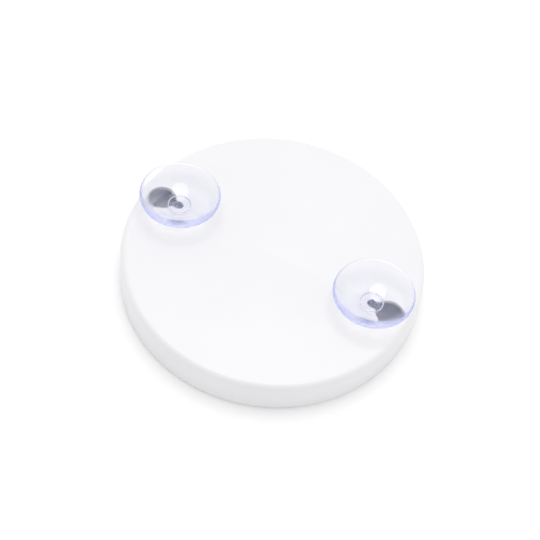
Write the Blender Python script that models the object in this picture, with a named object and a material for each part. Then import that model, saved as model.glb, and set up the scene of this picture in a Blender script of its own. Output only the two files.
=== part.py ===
"""A lazy Susan turntable in metres, +Z up, standing on its feet at z = 0.

A skirted platter turns on a ring of caged balls over a round base, held by one shouldered pivot screw.
Two suction cups stand mouth up in keyholes in the platter's face and grip the dish that is set on them.
The cups lie on the X axis.
"""

import math

import bmesh
import bpy
from mathutils import Matrix, Vector

# ---- Driving dimensions -------------------------------------------------------------------------

FIT_GAP = 0.0003  # between pieces that touch or turn in each other

PLATTER_RADIUS = 0.075
PLATTER_WALL = 0.0024  # face and skirt
EDGE_RADIUS = 0.0030  # round between face and skirt
CORNER_RADIUS = 0.0015  # inside corner between face and skirt
SKIRT_LIFT = 0.0012  # clearance under the skirt
LAND_HEIGHT = 0.0025  # the upper race's land, below the platter's ceiling
LAND_WALL = 0.0020
LIP_WALL = 0.0015  # the lips that centre both races
LIP_DEPTH = 0.0015
PLATTER_RIB_COUNT = 3  # each runs the whole way across
PLATTER_RIB_HEIGHT = 0.0022
RIB_WIDTH = 0.0016

SKIRT_CLEARANCE = 0.0020  # between the base's rim and the skirt
BASE_FLOOR = 0.0026
BASE_RIM_HEIGHT = 0.0075
BASE_RIM_WALL = 0.0022
BASE_RIB_COUNT = 6
BASE_RIB_HEIGHT = 0.0024
SEAT_HEIGHT = 0.0010  # raised seat under the lower race
BASE_EDGE = 0.0008  # chamfer under the rim

FOOT_COUNT = 6
FOOT_RADIUS = 0.0060
FOOT_STANDOFF = 0.0015  # how far the feet hold the base off the surface
FOOT_RECESS = 0.0012
FOOT_INSET = 0.0044  # from the rim's inner face to the foot
FOOT_CHAMFER = 0.0005

BALL_RADIUS = 0.0030
BALL_COUNT = 12
BALL_CLEARANCE = 0.0002
GROOVE_DEPTH = 0.0011
RACE_THICKNESS = 0.0024
RACE_INNER_BAND = 0.0045  # from the ball circle to the race's inner edge
CAGE_CLEARANCE = 0.0008  # between the cage and each race
CAGE_WEB = 0.00105  # material beside each pocket
POCKET_CLEARANCE = 0.00025

SCREW_COUNT = 4
SCREW_SHANK_RADIUS = 0.0012
SCREW_HEAD_RADIUS = 0.0020
SCREW_HEAD_HEIGHT = 0.0012
SCREW_BITE = 0.0026
SCREW_EDGE = 0.0030  # from the screw circle to the race's outer edge
CAGE_TO_SCREW = 0.0007
DRIVE_RADIUS = 0.0009  # hexagonal socket in each head
DRIVE_DEPTH = 0.0006
SCREW_CROWN = 0.70  # flat top of a screw head, as a share of its radius

PIVOT_RADIUS = 0.0030  # shoulder that the bush turns on
PIVOT_THREAD_RADIUS = 0.0020
PIVOT_HEAD_RADIUS = 0.0056
PIVOT_HEAD_HEIGHT = 0.0016
PIVOT_DRIVE_RADIUS = 0.0020
PIVOT_CROWN = 0.85  # flat of the pivot screw's head, as a share of its radius
PIVOT_BEVEL = 0.33  # height of the bevel round it, as a share of the head
BOSS_SKIN = 0.0014  # solid end of the platter's boss above the thread
BUSH_WALL = 0.0012
BUSH_FLANGE_RADIUS = 0.0072
BUSH_FLANGE = 0.0007
WASHER_RADIUS = 0.0060
WASHER_THICKNESS = 0.0007
CAP_STEP = 0.0012  # the cap's recess is this much wider than the counterbore
CAP_THICKNESS = 0.0008
BASE_BOSS_WALL = 0.0020
BASE_BOSS_HEIGHT = 0.0080
PLATTER_BOSS_RADIUS = 0.0078

CUP_RADIUS = 0.0200
CUP_HEIGHT = 0.0110  # mouth above the platter's face
CUP_BOWL_FLOOR = 0.0030  # lowest point inside the bowl, above the face
CUP_LIP_WIDTH = 0.0008
CUP_LIP_DROP = 0.0006  # height of the lip's outer edge
CUP_CONE = 0.35  # share of the bowl's depth that is straight; the rest curves up
CUP_FLARE = 0.42  # the same share of the outer wall's rise
COLLAR_RADIUS = 0.0059
COLLAR_TOP = 0.0016
NECK_RADIUS = 0.0022
HEAD_RADIUS = 0.0058
HEAD_THICKNESS = 0.0030
HEAD_TIP = 0.70  # flat end of the mushroom head, as a share of its radius
HEAD_TIP_RISE = 0.40  # height of the cone above it, as a share of the thickness
HEAD_SHOULDER = 0.87  # flat back of the head, as a share of its radius
HEAD_SHOULDER_RISE = 0.75
ENTRY_CLEARANCE = 0.0010  # round the head in the keyhole's entry
ENTRY_MARGIN = 0.0021  # from the entry to the skirt
KEYHOLE_PITCH = 0.0097  # from the entry's centre to the locked neck
CUP_TO_RACE = 0.0042  # from the cup's head to the upper race

BIG_SEGMENTS = 60
RACE_SEGMENTS = 48
CUP_SEGMENTS = 32
PIVOT_SEGMENTS = 20
FOOT_SEGMENTS = 16
SMALL_SEGMENTS = 12
BALL_SEGMENTS = 10
BALL_RINGS = 6
CUP_OUTER_STEPS = 5
CUP_INNER_STEPS = 5
EDGE_STEPS = 4
CORNER_STEPS = 2
ENTRY_STEPS = 18
SLOT_STEPS = 8
GROOVE_STEPS = 4
HEX_SIDES = 6
SHARP_ANGLE = 35  # degrees between faces that are shaded as an edge
MERGE = 0.000001

# ---- Worked out from the above ------------------------------------------------------------------

SKIRT_INNER = PLATTER_RADIUS - PLATTER_WALL
BASE_RADIUS = SKIRT_INNER - SKIRT_CLEARANCE
RIM_INNER = BASE_RADIUS - BASE_RIM_WALL
FOOT_CIRCLE = RIM_INNER - FOOT_INSET - FOOT_RADIUS

ENTRY_RADIUS = HEAD_RADIUS + ENTRY_CLEARANCE
SLOT_HALF_WIDTH = NECK_RADIUS + FIT_GAP
ENTRY_PLACE = SKIRT_INNER - ENTRY_MARGIN - ENTRY_RADIUS
CUP_PLACE = ENTRY_PLACE - KEYHOLE_PITCH

CAGE_HALF_WIDTH = BALL_RADIUS + POCKET_CLEARANCE + CAGE_WEB
RACE_OUTER = CUP_PLACE - HEAD_RADIUS - CUP_TO_RACE
SCREW_CIRCLE = RACE_OUTER - SCREW_EDGE
RACE_RADIUS = SCREW_CIRCLE - SCREW_HEAD_RADIUS - CAGE_TO_SCREW - CAGE_HALF_WIDTH
RACE_INNER = RACE_RADIUS - RACE_INNER_BAND
GROOVE_RADIUS = BALL_RADIUS + BALL_CLEARANCE
SCREW_HOLE_RADIUS = SCREW_SHANK_RADIUS + FIT_GAP

BASE_FLOOR_TOP = FOOT_STANDOFF + BASE_FLOOR
SEAT_TOP = BASE_FLOOR_TOP + SEAT_HEIGHT
LOWER_RACE_BOTTOM = SEAT_TOP + FIT_GAP
LOWER_RACE_TOP = LOWER_RACE_BOTTOM + RACE_THICKNESS
BALL_HEIGHT = LOWER_RACE_TOP - GROOVE_DEPTH + GROOVE_RADIUS
UPPER_RACE_BOTTOM = 2 * BALL_HEIGHT - LOWER_RACE_TOP
CAGE_HEIGHT = UPPER_RACE_BOTTOM - LOWER_RACE_TOP - 2 * CAGE_CLEARANCE
UPPER_RACE_TOP = UPPER_RACE_BOTTOM + RACE_THICKNESS
LAND_BOTTOM = UPPER_RACE_TOP + FIT_GAP
CEILING = LAND_BOTTOM + LAND_HEIGHT
PLATTER_TOP = CEILING + PLATTER_WALL

COUNTERBORE_RADIUS = WASHER_RADIUS + FIT_GAP
CAP_RECESS_RADIUS = COUNTERBORE_RADIUS + CAP_STEP
CAP_RECESS_TOP = FOOT_STANDOFF + CAP_THICKNESS + FIT_GAP
PIVOT_HEAD_TOP = CAP_RECESS_TOP + PIVOT_HEAD_HEIGHT
WASHER_BOTTOM = PIVOT_HEAD_TOP + FIT_GAP
WASHER_TOP = WASHER_BOTTOM + WASHER_THICKNESS
COUNTERBORE_TOP = WASHER_TOP + FIT_GAP
BASE_BOSS_TOP = FOOT_STANDOFF + BASE_BOSS_HEIGHT
BASE_BOSS_RADIUS = CAP_RECESS_RADIUS + BASE_BOSS_WALL
BUSH_INNER = PIVOT_RADIUS + FIT_GAP
BUSH_OUTER = BUSH_INNER + BUSH_WALL
BUSH_BORE = BUSH_OUTER + FIT_GAP
FLANGE_BOTTOM = BASE_BOSS_TOP + FIT_GAP
FLANGE_TOP = FLANGE_BOTTOM + BUSH_FLANGE
PLATTER_BOSS_BOTTOM = FLANGE_TOP + FIT_GAP
THREAD_TOP = CEILING - BOSS_SKIN


# ---- Tools --------------------------------------------------------------------------------------


def clear_scene():
    """Takes every object out of the scene."""
    for obj in list(bpy.data.objects):
        bpy.data.objects.remove(obj)


def finish_of(name, colour, roughness, metallic=0.0):
    """A plain material for one of the object's finishes."""
    material = bpy.data.materials.new(name)
    material.use_nodes = True
    shader = material.node_tree.nodes["Principled BSDF"]
    shader.inputs["Base Color"].default_value = (*colour, 1.0)
    shader.inputs["Roughness"].default_value = roughness
    shader.inputs["Metallic"].default_value = metallic
    return material


def frame(name, location=(0, 0, 0)):
    """An empty that the pieces of one moving body hang from, on that body's axis."""
    empty = bpy.data.objects.new(name, None)
    empty.location = location
    bpy.context.scene.collection.objects.link(empty)
    return empty


def piece(name, mesh, material=None, parent=None, location=(0, 0, 0), turn=0.0):
    """Links a mesh as a named piece, turned about Z by an angle in radians."""
    obj = bpy.data.objects.new(name, mesh)
    obj.location = location
    obj.rotation_euler.z = turn
    obj.parent = parent
    if material and not mesh.materials:
        mesh.materials.append(material)
        mesh.shade_smooth()
        mesh.set_sharp_from_angle(angle=math.radians(SHARP_ANGLE))
    bpy.context.scene.collection.objects.link(obj)
    return obj


def boolean(obj, operation, shape_mesh):
    """Cuts or joins a helper shape, in the object's own coordinates."""
    helper = piece(f"{obj.name}_{operation.lower()}", shape_mesh, parent=obj)
    helper.hide_render = True
    helper.display_type = "WIRE"
    modifier = obj.modifiers.new(operation.title(), "BOOLEAN")
    modifier.operation = operation
    modifier.solver = "EXACT"
    modifier.object = helper


def to_mesh(shape, name):
    """Closes off a bmesh with its faces pointing out, and returns it as a mesh."""
    bmesh.ops.remove_doubles(shape, verts=shape.verts, dist=MERGE)
    bmesh.ops.recalc_face_normals(shape, faces=shape.faces)
    mesh = bpy.data.meshes.new(name)
    shape.to_mesh(mesh)
    shape.free()
    return mesh


def arc(centre, radius, start, end, steps):
    """Points of a circular arc about a centre, from one angle to another in degrees."""
    turns = [math.radians(start + (end - start) * i / steps) for i in range(steps + 1)]
    return [(centre[0] + radius * math.cos(a), centre[1] + radius * math.sin(a)) for a in turns]


def turned(name, profile, segments, ring=False):
    """The solid made by turning a profile of (radius, height) points about Z.

    A ring's profile is a loop. Any other profile starts and ends on the axis.
    """
    shape = bmesh.new()
    points = [shape.verts.new((r, 0, z)) for r, z in profile]
    edges = [shape.edges.new(pair) for pair in zip(points, points[1:])]
    if ring:
        edges.append(shape.edges.new((points[-1], points[0])))
    bmesh.ops.spin(
        shape, geom=points + edges, axis=(0, 0, 1), cent=(0, 0, 0), angle=math.tau, steps=segments, use_merge=True
    )
    return to_mesh(shape, name)


def add_drill(shape, place, radius, bottom, top, segments):
    """Adds a closed cylinder between two heights to a bmesh."""
    middle = Matrix.Translation((place[0], place[1], (bottom + top) / 2))
    bmesh.ops.create_cone(
        shape, cap_ends=True, segments=segments, radius1=radius, radius2=radius, depth=top - bottom, matrix=middle
    )


def add_bar(shape, turn, start, end, width, bottom, top):
    """Adds a box that runs outwards at an angle, from one distance off the axis to another."""
    size = Matrix.Diagonal((end - start, width, top - bottom, 1))
    place = Matrix.Translation(((start + end) / 2, 0, (bottom + top) / 2))
    bmesh.ops.create_cube(shape, size=1, matrix=Matrix.Rotation(turn, 4, "Z") @ place @ size)


def add_prism(shape, outline, bottom, top):
    """Adds the solid made by raising a flat outline of (x, y) points."""
    face = shape.faces.new([shape.verts.new((x, y, bottom)) for x, y in outline])
    raised = bmesh.ops.extrude_face_region(shape, geom=[face])["geom"]
    corners = [part for part in raised if isinstance(part, bmesh.types.BMVert)]
    bmesh.ops.translate(shape, verts=corners, vec=(0, 0, top - bottom))


def around(count, radius, first=0.0):
    """(angle, x, y) of equally spaced places on a circle."""
    turns = [first + math.tau * i / count for i in range(count)]
    return [(a, radius * math.cos(a), radius * math.sin(a)) for a in turns]


# ---- Platter ------------------------------------------------------------------------------------


def keyhole_outline(side):
    """The keyhole on the +X or -X side: a round entry, and a slot inwards to the locked neck."""
    meet = math.degrees(math.asin(SLOT_HALF_WIDTH / ENTRY_RADIUS))
    entry = arc((ENTRY_PLACE, 0), ENTRY_RADIUS, meet - 180, 180 - meet, ENTRY_STEPS)
    slot_end = arc((CUP_PLACE, 0), SLOT_HALF_WIDTH, 90, 270, SLOT_STEPS)
    return [(side * x, y) for x, y in entry + slot_end]


def platter_profile():
    """Half section of the platter, from the middle of its face round to the foot of its boss."""
    lip = RACE_OUTER + FIT_GAP
    return [
        (0, PLATTER_TOP),
        *arc((PLATTER_RADIUS - EDGE_RADIUS, PLATTER_TOP - EDGE_RADIUS), EDGE_RADIUS, 90, 0, EDGE_STEPS),
        (PLATTER_RADIUS, SKIRT_LIFT),
        (SKIRT_INNER, SKIRT_LIFT),
        *arc((SKIRT_INNER - CORNER_RADIUS, CEILING - CORNER_RADIUS), CORNER_RADIUS, 0, 90, CORNER_STEPS),
        (lip + LIP_WALL, CEILING),
        (lip + LIP_WALL, LAND_BOTTOM - LIP_DEPTH),
        (lip, LAND_BOTTOM - LIP_DEPTH),
        (lip, LAND_BOTTOM),
        (SCREW_CIRCLE - SCREW_HOLE_RADIUS - LAND_WALL / 2, LAND_BOTTOM),
        (SCREW_CIRCLE - SCREW_HOLE_RADIUS - LAND_WALL / 2, CEILING),
        (RACE_INNER + LAND_WALL, CEILING),
        (RACE_INNER + LAND_WALL, LAND_BOTTOM),
        (RACE_INNER, LAND_BOTTOM),
        (RACE_INNER, CEILING),
        (PLATTER_BOSS_RADIUS, CEILING),
        (PLATTER_BOSS_RADIUS, PLATTER_BOSS_BOTTOM),
        (0, PLATTER_BOSS_BOTTOM),
    ]


def make_platter(material, parent):
    """The white shell that turns: face, skirt, race land, boss, ribs and two keyholes."""
    platter = piece("platter_shell", turned("platter_shell", platter_profile(), BIG_SEGMENTS), material, parent)
    ribs = bmesh.new()
    reach = SKIRT_INNER + PLATTER_WALL / 2
    for i in range(PLATTER_RIB_COUNT):
        turn = math.pi * (i + 0.5) / PLATTER_RIB_COUNT
        add_bar(ribs, turn, -reach, reach, RIB_WIDTH, CEILING - PLATTER_RIB_HEIGHT, CEILING + PLATTER_WALL / 2)
    boolean(platter, "UNION", to_mesh(ribs, "platter_ribs"))
    holes = bmesh.new()
    for side in (-1, 1):
        add_prism(holes, keyhole_outline(side), CEILING - PLATTER_WALL, PLATTER_TOP + PLATTER_WALL)
    pilot_top = LAND_BOTTOM + SCREW_BITE + FIT_GAP
    for _, x, y in around(SCREW_COUNT, SCREW_CIRCLE, math.pi / SCREW_COUNT):
        add_drill(holes, (x, y), SCREW_HOLE_RADIUS, UPPER_RACE_BOTTOM, pilot_top, SMALL_SEGMENTS)
    thread_hole = PIVOT_THREAD_RADIUS + FIT_GAP
    add_drill(holes, (0, 0), thread_hole, BASE_BOSS_TOP, THREAD_TOP + FIT_GAP, PIVOT_SEGMENTS)
    boolean(platter, "DIFFERENCE", to_mesh(holes, "platter_holes"))


def cup_profile():
    """Half section of a suction cup about its own axis, with z = 0 on the platter's face."""
    lip = CUP_RADIUS - CUP_LIP_WIDTH
    head_top = -PLATTER_WALL - FIT_GAP
    head_bottom = head_top - HEAD_THICKNESS
    rise = CUP_HEIGHT - CUP_LIP_DROP - COLLAR_TOP
    depth = CUP_HEIGHT - CUP_BOWL_FLOOR
    outer = []
    for i in range(CUP_OUTER_STEPS + 1):
        t = i / CUP_OUTER_STEPS
        height = COLLAR_TOP + rise * (CUP_FLARE * t + (1 - CUP_FLARE) * t * t)
        outer.append((COLLAR_RADIUS + t * (CUP_RADIUS - COLLAR_RADIUS), height))
    inner = []
    for i in range(CUP_INNER_STEPS + 1):
        t = 1 - i / CUP_INNER_STEPS
        height = CUP_BOWL_FLOOR + depth * (CUP_CONE * t + (1 - CUP_CONE) * t * t)
        inner.append((lip * t, height))
    return [
        (0, head_bottom),
        (HEAD_TIP * HEAD_RADIUS, head_bottom),
        (HEAD_RADIUS, head_bottom + HEAD_TIP_RISE * HEAD_THICKNESS),
        (HEAD_RADIUS, head_bottom + HEAD_SHOULDER_RISE * HEAD_THICKNESS),
        (HEAD_SHOULDER * HEAD_RADIUS, head_top),
        (NECK_RADIUS, head_top),
        (NECK_RADIUS, FIT_GAP),
        (COLLAR_RADIUS, FIT_GAP),
        *outer,
        (CUP_RADIUS, CUP_HEIGHT),
        *inner,
    ]


def make_cup(name, material, parent):
    """One clear cup: bowl, collar, neck and mushroom head in a single moulding."""
    piece(name, turned(name, cup_profile(), CUP_SEGMENTS), material, parent)


# ---- Ball race ----------------------------------------------------------------------------------


def race_profile():
    """Section of a race ring with its groove up and z = 0 on its back."""
    sink = GROOVE_RADIUS - GROOVE_DEPTH
    edge = math.degrees(math.asin(sink / GROOVE_RADIUS))
    groove = arc((RACE_RADIUS, RACE_THICKNESS + sink), GROOVE_RADIUS, -180 + edge, -edge, GROOVE_STEPS)
    return [
        (RACE_INNER, RACE_THICKNESS),
        *groove,
        (RACE_OUTER, RACE_THICKNESS),
        (RACE_OUTER, 0),
        (RACE_INNER, 0),
    ]


def make_race(name, material, parent, back, face_down):
    """A steel race ring with four screw holes, lying on its back or turned over."""
    race = piece(name, turned(name, race_profile(), RACE_SEGMENTS, ring=True), material, parent, (0, 0, back))
    race.rotation_euler.x = math.pi if face_down else 0
    holes = bmesh.new()
    for _, x, y in around(SCREW_COUNT, SCREW_CIRCLE, math.pi / SCREW_COUNT):
        add_drill(holes, (x, y), SCREW_HOLE_RADIUS, -RACE_THICKNESS, 2 * RACE_THICKNESS, SMALL_SEGMENTS)
    boolean(race, "DIFFERENCE", to_mesh(holes, f"{name}_holes"))


def make_race_screws(name, material, parent, head_seat, points_up):
    """Four pan-head screws through a race ring, each its own piece."""
    length = RACE_THICKNESS + FIT_GAP + SCREW_BITE
    profile = [
        (0, SCREW_HEAD_HEIGHT - DRIVE_DEPTH),
        (DRIVE_RADIUS, SCREW_HEAD_HEIGHT - DRIVE_DEPTH),
        (DRIVE_RADIUS, SCREW_HEAD_HEIGHT),
        (SCREW_CROWN * SCREW_HEAD_RADIUS, SCREW_HEAD_HEIGHT),
        (SCREW_HEAD_RADIUS, SCREW_HEAD_HEIGHT / 2),
        (SCREW_HEAD_RADIUS, FIT_GAP),
        (SCREW_SHANK_RADIUS, FIT_GAP),
        (SCREW_SHANK_RADIUS, SCREW_SHANK_RADIUS - length),
        (0, -length),
    ]
    mesh = turned(name, profile, SMALL_SEGMENTS)
    for i, (_, x, y) in enumerate(around(SCREW_COUNT, SCREW_CIRCLE, math.pi / SCREW_COUNT)):
        screw = piece(f"{name}_{i + 1}", mesh, material, parent, (x, y, head_seat))
        screw.rotation_euler.x = math.pi if points_up else 0


def make_cage(material, parent):
    """The ring that keeps the balls apart, with one round pocket for each."""
    half = CAGE_HEIGHT / 2
    section = [
        (RACE_RADIUS - CAGE_HALF_WIDTH, -half),
        (RACE_RADIUS - CAGE_HALF_WIDTH, half),
        (RACE_RADIUS + CAGE_HALF_WIDTH, half),
        (RACE_RADIUS + CAGE_HALF_WIDTH, -half),
    ]
    cage = piece("ball_cage", turned("ball_cage", section, RACE_SEGMENTS, ring=True), material, parent)
    pockets = bmesh.new()
    for _, x, y in around(BALL_COUNT, RACE_RADIUS):
        add_drill(pockets, (x, y), BALL_RADIUS + POCKET_CLEARANCE, -CAGE_HEIGHT, CAGE_HEIGHT, SMALL_SEGMENTS)
    boolean(cage, "DIFFERENCE", to_mesh(pockets, "cage_pockets"))


def make_balls(material, parent):
    """The bearing balls, each its own piece with its origin at its centre."""
    shape = bmesh.new()
    bmesh.ops.create_uvsphere(shape, u_segments=BALL_SEGMENTS, v_segments=BALL_RINGS, radius=BALL_RADIUS)
    ball = to_mesh(shape, "ball")
    for i, (turn, x, y) in enumerate(around(BALL_COUNT, RACE_RADIUS)):
        piece(f"ball_{i + 1:02d}", ball, material, parent, (x, y, 0), turn)


# ---- Base ---------------------------------------------------------------------------------------


def base_profile():
    """Section of the base about its axis, as a loop from the bush's bore outwards and back below."""
    lip = RACE_OUTER + FIT_GAP
    return [
        (BUSH_BORE, BASE_BOSS_TOP),
        (BASE_BOSS_RADIUS, BASE_BOSS_TOP),
        (BASE_BOSS_RADIUS, BASE_FLOOR_TOP),
        (RACE_INNER, BASE_FLOOR_TOP),
        (RACE_INNER, SEAT_TOP),
        (lip, SEAT_TOP),
        (lip, SEAT_TOP + LIP_DEPTH),
        (lip + LIP_WALL, SEAT_TOP + LIP_DEPTH),
        (lip + LIP_WALL, BASE_FLOOR_TOP),
        (RIM_INNER, BASE_FLOOR_TOP),
        (RIM_INNER, FOOT_STANDOFF + BASE_RIM_HEIGHT),
        (BASE_RADIUS, FOOT_STANDOFF + BASE_RIM_HEIGHT),
        (BASE_RADIUS, FOOT_STANDOFF + BASE_EDGE),
        (BASE_RADIUS - BASE_EDGE, FOOT_STANDOFF),
        (CAP_RECESS_RADIUS, FOOT_STANDOFF),
        (CAP_RECESS_RADIUS, CAP_RECESS_TOP),
        (COUNTERBORE_RADIUS, CAP_RECESS_TOP),
        (COUNTERBORE_RADIUS, COUNTERBORE_TOP),
        (BUSH_BORE, COUNTERBORE_TOP),
    ]


def make_base(material, parent):
    """The round tray that stands still, with its rim, ribs, race seat, pilot holes and foot recesses."""
    base = piece("base_plate", turned("base_plate", base_profile(), BIG_SEGMENTS, ring=True), material, parent)
    ribs = bmesh.new()
    start = RACE_OUTER + FIT_GAP + LIP_WALL / 2
    end = RIM_INNER + BASE_RIM_WALL / 2
    for turn, _, _ in around(BASE_RIB_COUNT, start):
        add_bar(ribs, turn, start, end, RIB_WIDTH, BASE_FLOOR_TOP - BASE_FLOOR / 3, BASE_FLOOR_TOP + BASE_RIB_HEIGHT)
    boolean(base, "UNION", to_mesh(ribs, "base_ribs"))
    holes = bmesh.new()
    pilot_bottom = SEAT_TOP - SCREW_BITE - FIT_GAP
    for _, x, y in around(SCREW_COUNT, SCREW_CIRCLE, math.pi / SCREW_COUNT):
        add_drill(holes, (x, y), SCREW_HOLE_RADIUS, pilot_bottom, LOWER_RACE_TOP, SMALL_SEGMENTS)
    recess_top = FOOT_STANDOFF + FOOT_RECESS
    for _, x, y in around(FOOT_COUNT, FOOT_CIRCLE):
        add_drill(holes, (x, y), FOOT_RADIUS + FIT_GAP, 0, recess_top, FOOT_SEGMENTS)
    boolean(base, "DIFFERENCE", to_mesh(holes, "base_holes"))


def make_feet(material, parent):
    """Rubber feet, each set in a recess under the base."""
    top = FOOT_STANDOFF + FOOT_RECESS - FIT_GAP
    profile = [(0, top), (FOOT_RADIUS, top), (FOOT_RADIUS, FOOT_CHAMFER), (FOOT_RADIUS - FOOT_CHAMFER, 0), (0, 0)]
    foot = turned("foot", profile, FOOT_SEGMENTS)
    for i, (_, x, y) in enumerate(around(FOOT_COUNT, FOOT_CIRCLE)):
        piece(f"foot_{i + 1}", foot, material, parent, (x, y, 0))


# ---- Pivot --------------------------------------------------------------------------------------


def make_pivot_screw(material, parent):
    """The shouldered screw, driven from below into the platter's boss."""
    head_bottom = PIVOT_HEAD_TOP - PIVOT_HEAD_HEIGHT
    profile = [
        (0, head_bottom),
        (PIVOT_CROWN * PIVOT_HEAD_RADIUS, head_bottom),
        (PIVOT_HEAD_RADIUS, head_bottom + PIVOT_BEVEL * PIVOT_HEAD_HEIGHT),
        (PIVOT_HEAD_RADIUS, PIVOT_HEAD_TOP),
        (PIVOT_RADIUS, PIVOT_HEAD_TOP),
        (PIVOT_RADIUS, FLANGE_TOP),
        (PIVOT_THREAD_RADIUS, FLANGE_TOP),
        (PIVOT_THREAD_RADIUS, THREAD_TOP - PIVOT_THREAD_RADIUS / 2),
        (PIVOT_THREAD_RADIUS / 2, THREAD_TOP),
        (0, THREAD_TOP),
    ]
    screw = piece("pivot_screw", turned("pivot_screw", profile, PIVOT_SEGMENTS), material, parent)
    socket = bmesh.new()
    add_drill(socket, (0, 0), PIVOT_DRIVE_RADIUS, 0, head_bottom + PIVOT_HEAD_HEIGHT / 2, HEX_SIDES)
    boolean(screw, "DIFFERENCE", to_mesh(socket, "pivot_socket"))


def make_bush(material, parent):
    """The flanged bush pressed into the base, which carries the shoulder and the platter's boss."""
    profile = [
        (BUSH_INNER, COUNTERBORE_TOP),
        (BUSH_INNER, FLANGE_TOP),
        (BUSH_FLANGE_RADIUS, FLANGE_TOP),
        (BUSH_FLANGE_RADIUS, FLANGE_BOTTOM),
        (BUSH_OUTER, FLANGE_BOTTOM),
        (BUSH_OUTER, COUNTERBORE_TOP),
    ]
    piece("pivot_bush", turned("pivot_bush", profile, PIVOT_SEGMENTS, ring=True), material, parent)


def make_washer(material, parent):
    """The washer between the pivot screw's head and the base."""
    profile = [
        (BUSH_INNER, WASHER_BOTTOM),
        (BUSH_INNER, WASHER_TOP),
        (WASHER_RADIUS, WASHER_TOP),
        (WASHER_RADIUS, WASHER_BOTTOM),
    ]
    piece("pivot_washer", turned("pivot_washer", profile, PIVOT_SEGMENTS, ring=True), material, parent)


def make_cap(material, parent):
    """The press-in disc that hides the pivot screw from below."""
    radius = CAP_RECESS_RADIUS - FIT_GAP
    top = FOOT_STANDOFF + CAP_THICKNESS
    profile = [(0, FOOT_STANDOFF), (radius, FOOT_STANDOFF), (radius, top), (0, top)]
    piece("pivot_cap", turned("pivot_cap", profile, PIVOT_SEGMENTS), material, parent)


def main():
    """Builds the turntable body by body."""
    clear_scene()
    white = finish_of("white_moulding", (0.93, 0.93, 0.94), 0.35)
    clear = finish_of("clear_cup", (0.86, 0.87, 0.97), 0.08)
    steel = finish_of("zinc_steel", (0.72, 0.73, 0.75), 0.32, 1.0)
    chrome_steel = finish_of("ball_steel", (0.80, 0.80, 0.82), 0.12, 1.0)
    acetal = finish_of("acetal", (0.88, 0.87, 0.83), 0.45)
    rubber = finish_of("grey_rubber", (0.20, 0.20, 0.21), 0.80)

    base_frame = frame("base_frame")
    make_base(white, base_frame)
    make_feet(rubber, base_frame)
    make_race("lower_race", steel, base_frame, LOWER_RACE_BOTTOM, face_down=False)
    make_race_screws("lower_race_screw", steel, base_frame, LOWER_RACE_TOP, points_up=False)
    make_bush(acetal, base_frame)
    make_cap(white, base_frame)

    cage_frame = frame("cage_frame", (0, 0, BALL_HEIGHT))
    make_cage(acetal, cage_frame)
    make_balls(chrome_steel, cage_frame)

    platter_frame = frame("platter_frame")
    make_platter(white, platter_frame)
    make_race("upper_race", steel, platter_frame, UPPER_RACE_TOP, face_down=True)
    make_race_screws("upper_race_screw", steel, platter_frame, UPPER_RACE_BOTTOM, points_up=True)
    make_pivot_screw(steel, platter_frame)
    make_washer(steel, platter_frame)

    for name, side in (("left", -1), ("right", 1)):
        cup_frame = frame(f"cup_{name}_frame", Vector((side * CUP_PLACE, 0, PLATTER_TOP)))
        make_cup(f"suction_cup_{name}", clear, cup_frame)


main()
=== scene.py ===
"""Finished look of a lazy Susan turntable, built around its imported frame.

A white skirted platter turns on a ring of caged balls over a round base. Two clear suction cups stand
mouth up in keyholes in its face. Every CAD node is replaced by a finished piece that rides on the same
body, in metres, with +Z up and the floor at z = 0.
"""

from __future__ import annotations

import logging
import math
from dataclasses import dataclass, field
from enum import Enum
from typing import Callable, Iterable, Optional, Sequence, Union

import bmesh
import bpy
from mathutils import Matrix, Vector


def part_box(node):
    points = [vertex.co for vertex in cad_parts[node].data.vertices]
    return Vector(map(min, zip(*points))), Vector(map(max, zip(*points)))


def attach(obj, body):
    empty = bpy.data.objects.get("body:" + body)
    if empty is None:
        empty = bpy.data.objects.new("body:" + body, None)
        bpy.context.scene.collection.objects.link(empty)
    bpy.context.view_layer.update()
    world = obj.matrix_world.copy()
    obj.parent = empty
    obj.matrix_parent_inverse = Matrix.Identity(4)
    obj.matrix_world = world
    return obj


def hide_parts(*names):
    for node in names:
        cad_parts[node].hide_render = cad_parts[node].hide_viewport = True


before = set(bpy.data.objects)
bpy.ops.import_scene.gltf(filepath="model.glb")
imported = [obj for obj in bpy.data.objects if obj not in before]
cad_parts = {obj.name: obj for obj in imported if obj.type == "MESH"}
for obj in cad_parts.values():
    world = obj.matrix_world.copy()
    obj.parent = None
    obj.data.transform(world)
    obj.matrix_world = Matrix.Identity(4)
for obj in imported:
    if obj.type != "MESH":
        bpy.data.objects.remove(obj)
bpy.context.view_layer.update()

LOG = logging.getLogger("turntable")

WELD = 0.000002  # points nearer than this are one
LEVEL = 0.00001  # heights nearer than this are the same
NEAR = 0.0001  # an edge this close to a bore's wall is on its rim
OVERCUT = 0.0020  # how far a cutter runs past the faces it cuts
FLAT_ANGLE = math.radians(0.2)  # faces that turn less than this are one
CREASE_ANGLE = math.radians(50)  # an edge that turns more than this can be rounded
SMOOTH_ANGLE = math.radians(38)  # an edge that turns more than this is shaded sharp
ROUND_STEPS = 4000  # steps across a round, to a metre of its radius
LEAST_ROUND_STEPS = 3

# Rounds on the edges of the mouldings and the turned parts
HAIR_ROUND = 0.0001
FINE_ROUND = 0.0002
SMALL_ROUND = 0.0003
MEDIUM_ROUND = 0.0004
WIDE_ROUND = 0.0005
BROAD_ROUND = 0.0006
FULL_ROUND = 0.0008


class Body(Enum):
    """The frame's moving bodies."""

    BASE = "base"
    CAGE = "cage"
    PLATTER = "platter"
    LEFT_CUP = "cup_left"
    RIGHT_CUP = "cup_right"


class Slot(Enum):
    """The record's material slots."""

    WHITE = "white_moulding"
    CLEAR = "clear_cup"
    ZINC = "zinc_steel"
    BALL = "ball_steel"
    ACETAL = "acetal"
    RUBBER = "grey_rubber"


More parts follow.
